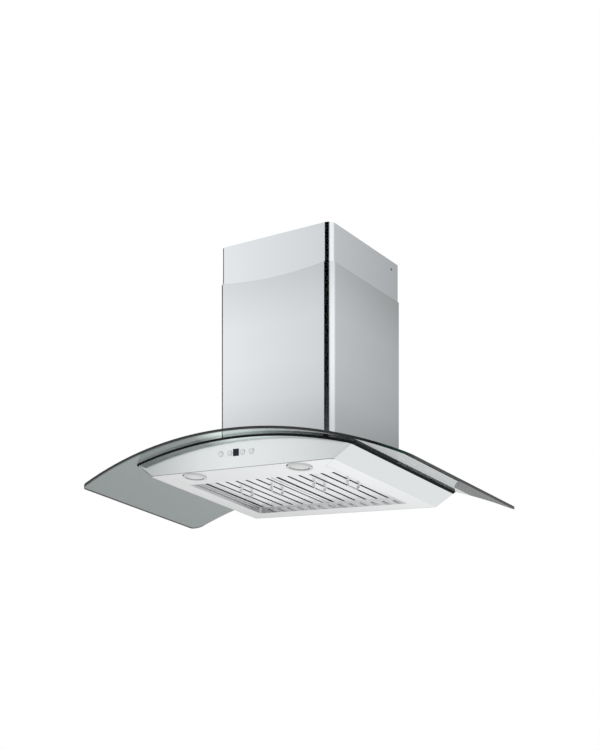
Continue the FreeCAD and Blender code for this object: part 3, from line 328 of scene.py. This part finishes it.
def panel_painted_shade(finish):
    """Painted shade on the front panel: lightest in its middle, with a dark painted shade line at
    its foot.
    """
    half_width, foot_shade_top, foot_shade_level = 0.26, 0.0013, 0.6
    front = abs(finish.facing("Y")) > 0.5
    # Painted shade: a dark line along the foot of the front panel.
    foot_shade = (finish.part(finish.place(), "Z") < foot_shade_top) * foot_shade_level
    # Painted shade across the front panel, darker towards its sides.
    panel = finish.ramp(
        finish.along("X", -half_width, half_width),
        (0.0, 0.38),
        (0.14, 0.25),
        (0.30, 0.08),
        (0.46, 0.0),
        (0.64, 0.02),
        (0.80, 0.08),
        (1.0, 0.20),
    )
    return (panel * (1 - foot_shade) + foot_shade) * front


def rim_painted_shade(finish):
    """Painted shade on the underside: darker towards its left and towards the wall, lightest at its
    right front corner.
    """
    across = finish.along("X", -0.25, 0.25)
    deep = finish.along("Y", -0.30, 0.0)
    return (1 - across) * 0.28 + deep * 0.12


def cover_painted_shade(finish):
    """Painted shade on a cover: lightest at the left of its front and darker towards the right and
    towards the wall.
    """
    low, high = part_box("lower_cover")
    across = finish.along("X", low.x, high.x)
    deep = finish.along("Y", low.y, high.y)
    return across * 0.19 + deep * 0.22


def lower_painted_shade(finish):
    """Painted shade on the lower cover: it is also darker just under its top edge, where it meets
    the upper cover, and towards its foot.
    """
    low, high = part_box("lower_cover")
    # Painted shade: darker just under the top edge and towards the foot, lightest in the middle.
    upright = finish.ramp(
        finish.along("Z", low.z, high.z),
        (0.0, 0.26),
        (0.15, 0.19),
        (0.32, 0.06),
        (0.50, 0.0),
        (0.72, 0.0),
        (0.84, 0.05),
        (0.95, 0.11),
        (1.0, 0.13),
    )
    return cover_painted_shade(finish) + upright


def zinc_sheet(tint):
    """Zinc-coated sheet with its faint crystals."""
    finish = Finish("zinc_sheet")
    spots = {"Vector": finish.place(), "Scale": 110.0}
    facet = finish.part(finish.node("TexVoronoi", inputs=spots, output="Color"), "X")
    dust = finish.noise(9.0, 4.0)
    tone = finish.blend(facet, shade(tint, 0.86), shade(tint, 1.12))
    tone = finish.blend(dust * 0.3, tone, shade(tint, 0.72))
    rough = 0.42 + facet * 0.10 + dust * 0.10
    normal = finish.bump(facet, strength=0.12, distance=0.0002)
    return finish.surface(Base_Color=tone, Metallic=1.0, Roughness=rough, Normal=normal)


def turned_metal(name, tint, roughness):
    """Plated or turned metal, with a fine surface and faint handling marks."""
    finish = Finish(name)
    fine = finish.noise(900.0)
    worn = finish.noise(40.0, 4.0)
    tone = finish.blend(worn, shade(tint, 0.9), shade(tint, 1.05))
    rough = roughness + (fine - 0.5) * 0.05 + worn * 0.08
    normal = finish.bump(fine, strength=0.08, distance=0.0001)
    return finish.surface(Base_Color=tone, Metallic=1.0, Roughness=rough, Normal=normal)


def moulded(name, tint, roughness=0.45, grain=1400.0, gloss=0.5):
    """Moulded plastic or rubber with a fine spark-eroded texture."""
    finish = Finish(name)
    pebble = finish.noise(grain)
    dust = finish.noise(14.0, 4.0)
    dusty = tuple(channel * 0.85 + 0.01 for channel in tint)
    return finish.surface(
        Base_Color=finish.blend(dust * 0.35, tint, dusty),
        Roughness=roughness + (pebble - 0.5) * 0.12 + dust * 0.06,
        Normal=finish.bump(pebble, strength=0.25, distance=0.00012),
        Specular_IOR_Level=gloss,
    )


def bent_glass(looks, bow):
    """Tinted glass with a dark edge, and a painted light band in the strip before the chimney."""
    front_strip, edge_strip, lit_reach = 0.05, 0.005, 0.36
    low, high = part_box("glass_canopy")
    half, drop = high.x, high.z - low.z
    radius = (half * half + drop * drop) / (2 * drop)
    centre = high.z - radius
    finish = Finish("bent_glass")
    spot = finish.place()
    x, y, z = (finish.part(spot, axis) for axis in "XYZ")
    reach = (x * x + (z - centre) ** 2.0) ** 0.5
    # The pane's faces look along its radius. Its edges look across it.
    outward = finish.facing("X") * (x / reach) + finish.facing("Z") * ((z - centre) / reach)
    edge = abs(outward) < 0.6
    haze = finish.noise(7.0, 3.0)
    # Painted light: a light band across the middle of the pane.
    lit = finish.ramp(
        finish.along("X", -lit_reach, lit_reach),
        (0.0, 0.0),
        (0.36, 0.0),
        (0.46, 1.0),
        (0.56, 1.0),
        (0.66, 0.5),
        (0.80, 0.0),
    )
    # Painted light: the band covers only the pane's front strip before the chimney.
    ahead = y < low.y + front_strip
    tone = finish.blend(lit * ahead, tuple(looks.glass_tint), tuple(looks.glass_painted_light))
    polished = y < (x / half) ** 2.0 * bow + (low.y + edge_strip)
    tone = finish.blend(polished * 0.85, tone, tuple(looks.glass_edge))
    tone = finish.blend(edge, tone, tuple(looks.glass_edge))
    rough = edge * 0.12 + haze * 0.01
    return finish.surface(Base_Color=tone, Roughness=rough, Transmission_Weight=1.0, IOR=1.5)


def display_glass():
    """The dark window between the push buttons."""
    finish = Finish("display_glass")
    sheen = finish.noise(30.0, 3.0)
    tone = finish.blend(sheen, (0.004, 0.008, 0.016), (0.010, 0.018, 0.032))
    rough = 0.12 + sheen * 0.04
    return finish.surface(Base_Color=tone, Roughness=rough, Specular_IOR_Level=0.2)


def frosted_lens():
    """The rippled lens of a lamp."""
    finish = Finish("frosted_lens")
    ripple = finish.noise(260.0)
    return finish.surface(
        Base_Color=finish.blend(ripple, (0.86, 0.87, 0.86), (0.93, 0.94, 0.93)),
        Roughness=0.35 + ripple * 0.1,
        Coat_Weight=0.4,
        Normal=finish.bump(ripple, strength=0.3, distance=0.0003),
    )


# -------------------------------------------------------------------------------- modelling tools

BEND_STEPS = 6
BUTTON_LIP = 0.0015  # how far a button's flange stands out round its cap
FLANGE_BEHIND = 0.0015  # from the panel's face back to a button's flange
FLANGE_PLATE = 0.0012
DISH_DEPTH = 0.0002
DISH_RIM = 0.35  # the share of a button's flat top that lies round its dish
SAME_LEVEL = 0.00001
LEG_INSET = 0.006  # from the tips of a bail to its legs
WIRE_FIT = 0.995  # keeps a wire's facets inside the CAD wire


def middle(node):
    """The middle of a CAD node's box."""
    low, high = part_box(node)
    return (low + high) / 2


def dress(material, *nodes):
    """Gives CAD nodes a material."""
    for name in nodes:
        piece = frame["nodes"][name]
        for slot in piece.material_slots:
            slot.material = material
        if not piece.material_slots:
            piece.data.materials.append(material)


def body_of(node):
    """The body that a CAD node rides on."""
    bodies = frame["record"]["behaviour"]["bodies"]
    return next(body for body, nodes in bodies.items() if node in nodes)


def clear_selection():
    """Nothing selected, in object mode."""
    if bpy.context.mode != "OBJECT":
        bpy.ops.object.mode_set(mode="OBJECT")
    bpy.ops.object.select_all(action="DESELECT")


def take(piece):
    """Selects one object and makes it active."""
    clear_selection()
    piece.select_set(True)
    bpy.context.view_layer.objects.active = piece


def settle(piece):
    """Moves a piece's place into its mesh."""
    take(piece)
    bpy.ops.object.transform_apply(location=True, rotation=True, scale=True)


def finish_piece(piece, name, material, node, smooth):
    """Names and dresses a piece, which takes a CAD node's place on that node's body."""
    settle(piece)
    piece.name = name
    piece.data.name = name
    piece.data.materials.clear()
    piece.data.materials.append(material)
    bpy.ops.object.shade_smooth_by_angle(angle=math.radians(smooth))
    clear_selection()
    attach(piece, body_of(node))
    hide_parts(node)


def tube(points, radius, bend):
    """A round wire through points, its corners bent to a radius."""
    route = [points[0]]
    for before, here, after in zip(points, points[1:], points[2:]):
        into, out = (before - here).normalized(), (after - here).normalized()
        half = into.angle(out) / 2
        reach = bend / math.tan(half)
        centre = here + (into + out).normalized() * (bend / math.sin(half))
        start, end = here + into * reach - centre, here + out * reach - centre
        for step in range(BEND_STEPS + 1):
            route.append(centre + start.slerp(end, step / BEND_STEPS).normalized() * bend)
    route.append(points[-1])
    curve = bpy.data.curves.new("wire", "CURVE")
    curve.dimensions = "3D"
    curve.bevel_depth = radius
    curve.bevel_resolution = 4
    curve.use_fill_caps = True
    spline = curve.splines.new("POLY")
    spline.points.add(len(route) - 1)
    for point, place in zip(spline.points, route):
        point.co = (*place, 1.0)
    wire = bpy.data.objects.new("wire", curve)
    bpy.context.scene.collection.objects.link(wire)
    take(wire)
    bpy.ops.object.convert(target="MESH")
    return bpy.context.view_layer.objects.active


def choose_faces(piece, test):
    """Selects, in edit mode, the faces whose middle and direction pass a test."""
    bpy.ops.mesh.select_mode(type="FACE")
    bpy.ops.mesh.select_all(action="DESELECT")
    for face in bmesh.from_edit_mesh(piece.data).faces:
        face.select_set(test(face.calc_center_median(), face.normal))
    bmesh.update_edit_mesh(piece.data)


def choose_edges(piece, test):
    """Selects, in edit mode, the edges whose two ends pass a test."""
    bpy.ops.mesh.select_mode(type="EDGE")
    bpy.ops.mesh.select_all(action="DESELECT")
    for edge in bmesh.from_edit_mesh(piece.data).edges:
        edge.select_set(test(edge.verts[0].co, edge.verts[1].co))
    bmesh.update_edit_mesh(piece.data)


def another(piece, shift):
    """A copy of a piece, with a mesh of its own, moved along."""
    take(piece)
    bpy.ops.object.duplicate(linked=False)
    bpy.ops.transform.translate(value=shift)
    return bpy.context.view_layer.objects.active


# -------------------------------------------------------------------------------------- operators


class HOOD_OT_body(bpy.types.Operator):
    """Dress the steel panels of the body"""

    bl_idname = "hood.body"
    bl_label = "Body"

    def execute(self, context):
        looks = context.scene.hood_finishes
        # The front panel and the underside carry painted shade.
        panel = brushed_steel(
            "panel_steel",
            tuple(looks.panel_steel),
            looks.grain,
            roughness=0.14,
            depth=0.08,
            marks=0.01,
            painted_shade=panel_painted_shade,
        )
        rim = brushed_steel(
            "rim_steel",
            tuple(looks.rim_steel),
            looks.grain,
            roughness=0.2,
            depth=0.12,
            marks=0.01,
            painted_shade=rim_painted_shade,
        )
        dress(panel, "body_shell")
        dress(rim, "underside_frame", "light_panel")
        dress(zinc_sheet(tuple(looks.zinc)), *ZINC_NODES)
        return {"FINISHED"}


class HOOD_OT_covers(bpy.types.Operator):
    """Dress the two chimney covers"""

    bl_idname = "hood.covers"
    bl_label = "Chimney covers"

    def execute(self, context):
        looks = context.scene.hood_finishes
        # Both covers carry painted shade.
        for name, painted_shade, nodes in (
            ("lower_cover_painted_shade_steel", lower_painted_shade, ("lower_cover",)),
            ("upper_cover_painted_shade_steel", cover_painted_shade, ("upper_cover", "upper_cover_screws")),
        ):
            steel = brushed_steel(
                name,
                tuple(looks.cover_steel),
                looks.grain,
                roughness=0.13,
                depth=0.04,
                marks=0.01,
                painted_shade=painted_shade,
            )
            dress(steel, *nodes)
        dress(moulded("pad_plastic", (0.78, 0.77, 0.74), 0.4), "sliding_pads")
        return {"FINISHED"}


class HOOD_OT_glass(bpy.types.Operator):
    """Dress the bent pane, its seal and its fixings"""

    bl_idname = "hood.glass"
    bl_label = "Glass canopy"

    def execute(self, context):
        looks = context.scene.hood_finishes
        dress(bent_glass(looks, context.scene.hood_details.glass_bow), "glass_canopy")
        rubber = moulded("seal_rubber", tuple(looks.rubber), 0.8, 900.0, gloss=0.15)
        dress(rubber, "glass_gasket", "glass_bushes")
        return {"FINISHED"}


class HOOD_OT_controls(bpy.types.Operator):
    """Dress the push buttons, the display and the electronics behind them"""

    bl_idname = "hood.controls"
    bl_label = "Controls"

    def execute(self, context):
        metal = turned_metal("button_metal", (0.74, 0.75, 0.76), 0.2)
        first = self.button(context.scene.hood_details.button_round)
        home = middle("button_1")
        others = [another(first, middle(f"button_{number}") - home) for number in (2, 3, 4)]
        for number, cap in enumerate([first, *others], 1):
            finish_piece(cap, f"button_cap_{number}", metal, f"button_{number}", smooth=35.0)
        dress(display_glass(), "display_window")
        dress(moulded("case_plastic", (0.02, 0.02, 0.022), 0.5), "control_box")
        dress(moulded("board_resin", (0.02, 0.16, 0.07), 0.4, 300.0), "control_board")
        return {"FINISHED"}

    def button(self, rounding):
        """The first button: a flange behind the panel, and a cap with a rounded rim and a dish."""
        low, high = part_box("button_1")
        spot = middle("button_1")
        flange = (high.x - low.x) / 2
        cap = flange - BUTTON_LIP
        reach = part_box("body_shell")[0].y - low.y + FLANGE_BEHIND
        clear_selection()
        bpy.ops.mesh.primitive_cylinder_add(
            vertices=48,
            radius=flange,
            depth=FLANGE_PLATE,
            rotation=(math.pi / 2, 0.0, 0.0),
            location=(spot.x, low.y + reach + FLANGE_PLATE / 2, spot.z),
        )
        piece = bpy.context.view_layer.objects.active
        settle(piece)
        bpy.ops.object.mode_set(mode="EDIT")
        choose_faces(piece, lambda place, normal: normal.y < -0.9)
        bpy.ops.mesh.inset(thickness=BUTTON_LIP)
        bpy.ops.mesh.extrude_region_move(TRANSFORM_OT_translate={"value": (0.0, -reach, 0.0)})
        top = low.y + SAME_LEVEL
        choose_edges(piece, lambda one, two: max(one.y, two.y) < top)
        bpy.ops.mesh.bevel(offset=rounding, segments=5, affect="EDGES")
        choose_faces(piece, lambda place, normal: normal.y < -0.999 and place.y < top)
        bpy.ops.mesh.inset(thickness=(cap - rounding) * DISH_RIM, depth=-DISH_DEPTH)
        bpy.ops.object.mode_set(mode="OBJECT")
        return piece


class HOOD_OT_lamps(bpy.types.Operator):
    """Dress the two lamps"""

    bl_idname = "hood.lamps"
    bl_label = "Lamps"

    def execute(self, context):
        ring = turned_metal("ring_metal", (0.58, 0.59, 0.60), 0.12)
        lens = frosted_lens()
        cast = turned_metal("lamp_housing", (0.45, 0.46, 0.47), 0.45)
        for side in SIDES:
            dress(ring, f"light_ring_{side}")
            dress(lens, f"light_lens_{side}")
            dress(cast, f"light_module_{side}")
        return {"FINISHED"}


class HOOD_OT_filters(bpy.types.Operator):
    """Dress the baffle filters, their springs and ears"""

    bl_idname = "hood.filters"
    bl_label = "Filters"

    def execute(self, context):
        looks = context.scene.hood_finishes
        tint, grain = tuple(looks.filter_steel), looks.grain * 0.8
        satin = brushed_steel("filter_steel", tint, grain, roughness=0.3, depth=0.3, marks=0.03)
        # Painted shade: the upper baffles get a dark copy of the filter steel.
        tint = (0.24, 0.245, 0.25)
        shaded = brushed_steel(
            "upper_baffle_painted_shade", tint, grain, roughness=0.5, depth=0.3, marks=0.03
        )
        for side in SIDES:
            for part in ("filter_frame", "lower_baffles", "bail_ears"):
                dress(satin, f"{part}_{side}")
            dress(shaded, f"upper_baffles_{side}")
        dress(turned_metal("spring_steel", (0.6, 0.6, 0.6), 0.25), "filter_springs")
        return {"FINISHED"}


class HOOD_OT_bails(bpy.types.Operator):
    """Bend the wire handles of the filters"""

    bl_idname = "hood.bails"
    bl_label = "Bails"

    def execute(self, context):
        bend = context.scene.hood_details.wire_bend
        metal = turned_metal("wire_metal", (0.72, 0.73, 0.74), 0.14)
        for node in BAILS:
            low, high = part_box(node)
            spot = middle(node)
            radius = (high.x - low.x) / 2
            pivot, grip = high.z - radius, low.z + radius
            tip = (high.y - low.y) / 2
            leg = tip - LEG_INSET
            half = [(tip, pivot), (leg, pivot), (leg, grip)]
            route = [(-along, up) for along, up in half] + half[::-1]
            points = [Vector((spot.x, spot.y + along, up)) for along, up in route]
            wire = tube(points, radius * WIRE_FIT, bend)
            finish_piece(wire, node.replace("bail", "handle"), metal, node, smooth=60.0)
        return {"FINISHED"}


class HOOD_OT_blower(bpy.types.Operator):
    """Dress the fan, the motor and the wiring inside the blower box"""

    bl_idname = "hood.blower"
    bl_label = "Blower"

    def execute(self, context):
        dress(turned_metal("wheel_sheet", (0.55, 0.58, 0.6), 0.35), "impeller")
        dress(turned_metal("hub_alloy", (0.6, 0.6, 0.61), 0.3), "impeller_hub")
        dress(turned_metal("shaft_steel", (0.65, 0.65, 0.66), 0.15), "motor_shaft")
        dress(moulded("motor_paint", (0.16, 0.17, 0.18), 0.4, 500.0), "motor")
        dress(moulded("white_plastic", (0.75, 0.75, 0.72), 0.4), "capacitor")
        dress(moulded("grey_plastic", (0.30, 0.31, 0.33)), "junction_box", "junction_lid")
        dress(moulded("black_plastic", (0.015, 0.015, 0.016)), "cable_gland")
        return {"FINISHED"}


class HOOD_OT_duct(bpy.types.Operator):
    """Dress the duct collar and its flaps"""

    bl_idname = "hood.duct"
    bl_label = "Duct collar"

    def execute(self, context):
        dress(moulded("collar_plastic", (0.018, 0.018, 0.02), 0.4), "duct_collar")
        alloy = turned_metal("flap_alloy", (0.68, 0.69, 0.7), 0.3)
        dress(alloy, "damper_flap_front", "damper_flap_rear")
        dress(turned_metal("pin_steel", (0.6, 0.6, 0.6), 0.2), "damper_pin")
        return {"FINISHED"}


class HOOD_OT_fixings(bpy.types.Operator):
    """Dress the screws"""

    bl_idname = "hood.fixings"
    bl_label = "Fixings"

    def execute(self, context):
        plated = turned_metal("plated_steel", (0.62, 0.63, 0.64), 0.25)
        dress(plated, "glass_screws", "motor_screws")
        return {"FINISHED"}


# ------------------------------------------------------------------------------------------ stage

FLOOR_SIZE = 30.0
FLOOR_WHITE = 0.95  # the floor's level in reflections and through the glass
SOFT_LEVEL = 0.75  # the world's light on the hood
AIM = Vector((0.0, -0.25, 0.2))
# name, place, size, share of the key lamp's power
LAMPS = (
    ("key", Vector((-2.2, -2.6, 2.4)), 2.2, 1.0),
    ("fill", Vector((2.8, -1.8, 1.2)), 2.4, 0.45),
)
CARD_CENTRE = Vector((0.0, -0.25, 0.3))
CARD_DISTANCE = 6.0
# name, bearing from the front (positive to the right), width, lower and upper edge, level; angles
# are in degrees
CARDS = (
    ("card_camera_side", 7.5, 61.0, 12.0, 42.0, 0.0),
    ("card_corner", 82.0, 60.0, -20.0, 45.0, 1.35),
    ("card_right_rear", 152.0, 50.0, -40.0, 40.0, 0.78),
    ("card_left_rear", -150.0, 40.0, 1.0, 25.0, 0.28),
    ("card_left", -95.0, 30.0, -30.0, 40.0, 0.05),
)
SENSOR_WIDTH = 36.0
EYE = Vector((1.86876, -3.15069, -0.85909))
VIEW_RIGHT = Vector((0.61468, 0.77489, 0.14735))
VIEW_UP = Vector((0.0, 0.0, 1.0))
VIEW_AHEAD = Vector((-0.50618, 0.80264, 0.31552))


class HOOD_OT_stage(bpy.types.Operator):
    """Set up the floor, the lights and the camera"""

    bl_idname = "hood.stage"
    bl_label = "Stage"

    def execute(self, context):
        stage = context.scene.hood_stage
        self.add_floor(stage.floor_height)
        for card in CARDS:
            self.add_card(*card)
        for lamp in LAMPS:
            self.add_lamp(stage.lamp_power, *lamp)
        self.add_world(context.scene)
        self.add_camera(context.scene, stage.lens)
        context.scene.view_settings.view_transform = "Standard"
        return {"FINISHED"}

    def add_floor(self, height):
        """A pale floor that vanishes when it is seen from below."""
        clear_selection()
        bpy.ops.mesh.primitive_plane_add(size=FLOOR_SIZE, location=(0.0, 0.0, height))
        floor = bpy.context.view_layer.objects.active
        floor.name = "floor"
        finish = Finish("pale_floor")
        tone = finish.blend(finish.noise(3.0, 3.0), (0.80, 0.80, 0.80), (0.83, 0.83, 0.83))
        paint = finish.node("BsdfPrincipled", inputs={"Base Color": tone, "Roughness": 0.8})
        bright = finish.node("Emission", inputs={"Color": (*[FLOOR_WHITE] * 3, 1.0)})
        reflected = finish.ray("Glossy") | finish.ray("Transmission")
        upper = finish.node("MixShader", inputs={0: reflected, 1: paint, 2: bright})
        clear = finish.node("BsdfTransparent")
        behind = finish.node("NewGeometry", output="Backfacing")
        mixed = finish.node("MixShader", inputs={0: behind, 1: upper, 2: clear})
        finish.node("OutputMaterial", inputs={"Surface": mixed})
        floor.data.materials.append(finish.owner)
        settle(floor)

    def add_card(self, name, bearing, width, low, high, level):
        """A grey or black card that only the metal's reflections see."""
        turn = math.radians(bearing)
        away = Vector((math.sin(turn), -math.cos(turn), 0.0))
        wide = 2 * CARD_DISTANCE * math.tan(math.radians(width / 2))
        bottom, top = (CARD_DISTANCE * math.tan(math.radians(edge)) for edge in (low, high))
        rise = Vector((0.0, 0.0, (bottom + top) / 2))
        clear_selection()
        bpy.ops.mesh.primitive_plane_add(size=1.0)
        card = bpy.context.view_layer.objects.active
        card.name = name
        card.scale = (wide, top - bottom, 1.0)
        card.rotation_euler = (math.pi / 2, 0.0, turn)
        card.location = CARD_CENTRE + away * CARD_DISTANCE + rise
        finish = Finish(name)
        glow = finish.node("Emission", inputs={"Color": (level, level, level, 1.0)})
        finish.node("OutputMaterial", inputs={"Surface": glow})
        card.data.materials.append(finish.owner)
        settle(card)
        card.visible_camera = False
        card.visible_diffuse = False
        card.visible_transmission = False
        card.visible_shadow = False

    def add_lamp(self, power, name, place, size, share):
        """A broad lamp aimed at the hood, which reflections don't show."""
        light = bpy.data.lights.new(name, "AREA")
        light.size = size
        light.energy = power * share
        lamp = bpy.data.objects.new(name, light)
        bpy.context.scene.collection.objects.link(lamp)
        lamp.location = place
        lamp.rotation_euler = (AIM - place).to_track_quat("-Z", "Y").to_euler()
        lamp.visible_glossy = False

    def add_world(self, scene):
        """White to the eye, to gloss and through glass, and a plain level for everything else."""
        scene.world = bpy.data.worlds.new("studio")
        finish = Finish("studio", scene.world)
        white = finish.ray("Camera") | finish.ray("Glossy") | finish.ray("Transmission")
        strength = white + (1 - white) * SOFT_LEVEL
        sockets = {"Color": (1.0, 1.0, 1.0, 1.0), "Strength": strength}
        finish.node("OutputWorld", inputs={"Surface": finish.node("Background", inputs=sockets)})

    def add_camera(self, scene, lens):
        """A camera whose picture is skewed, so that the hood's uprights stay nearly upright."""
        camera = bpy.data.objects.new("camera", bpy.data.cameras.new("camera"))
        scene.collection.objects.link(camera)
        camera.data.lens = lens
        camera.data.sensor_width = SENSOR_WIDTH
        base = bpy.data.objects.new("camera_base", None)
        scene.collection.objects.link(base)
        camera.parent = base
        skewed = Matrix.Identity(4)
        for index, column in enumerate((VIEW_RIGHT, VIEW_UP, -VIEW_AHEAD, EYE)):
            skewed.col[index] = (*column, skewed.col[index].w)
        camera.matrix_parent_inverse = skewed
        scene.camera = camera


# ----------------------------------------------------------------------------------------- add-on


class HOOD_PT_panel(bpy.types.Panel):
    """Lists the steps that dress the hood"""

    bl_idname = "HOOD_PT_panel"
    bl_label = "Glass Range Hood"
    bl_space_type = "VIEW_3D"
    bl_region_type = "UI"
    bl_category = "Hood"

    def draw(self, context):
        scene = context.scene
        for group in (scene.hood_finishes, scene.hood_details, scene.hood_stage):
            box = self.layout.box()
            for name in group.bl_rna.properties.keys():
                if name not in ("rna_type", "name"):
                    box.prop(group, name)
        for step in STEPS:
            self.layout.operator(step.bl_idname)


STEPS = (
    HOOD_OT_body,
    HOOD_OT_covers,
    HOOD_OT_glass,
    HOOD_OT_controls,
    HOOD_OT_lamps,
    HOOD_OT_filters,
    HOOD_OT_bails,
    HOOD_OT_blower,
    HOOD_OT_duct,
    HOOD_OT_fixings,
    HOOD_OT_stage,
)
CLASSES = (HoodFinishes, HoodDetails, HoodStage, *STEPS, HOOD_PT_panel)


def register():
    """Registers the classes and gives the scene their properties."""
    for one in CLASSES:
        bpy.utils.register_class(one)
    bpy.types.Scene.hood_finishes = PointerProperty(type=HoodFinishes)
    bpy.types.Scene.hood_details = PointerProperty(type=HoodDetails)
    bpy.types.Scene.hood_stage = PointerProperty(type=HoodStage)


def unregister():
    """Takes back what register gave."""
    del bpy.types.Scene.hood_stage
    del bpy.types.Scene.hood_details
    del bpy.types.Scene.hood_finishes
    for one in reversed(CLASSES):
        bpy.utils.unregister_class(one)


def main():
    """Registers the add-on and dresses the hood."""
    register()
    for step in STEPS:
        group, name = step.bl_idname.split(".")
        if getattr(getattr(bpy.ops, group), name)() != {"FINISHED"}:
            raise RuntimeError(f"{step.bl_label} did not finish")


if __name__ == "__main__":
    main()
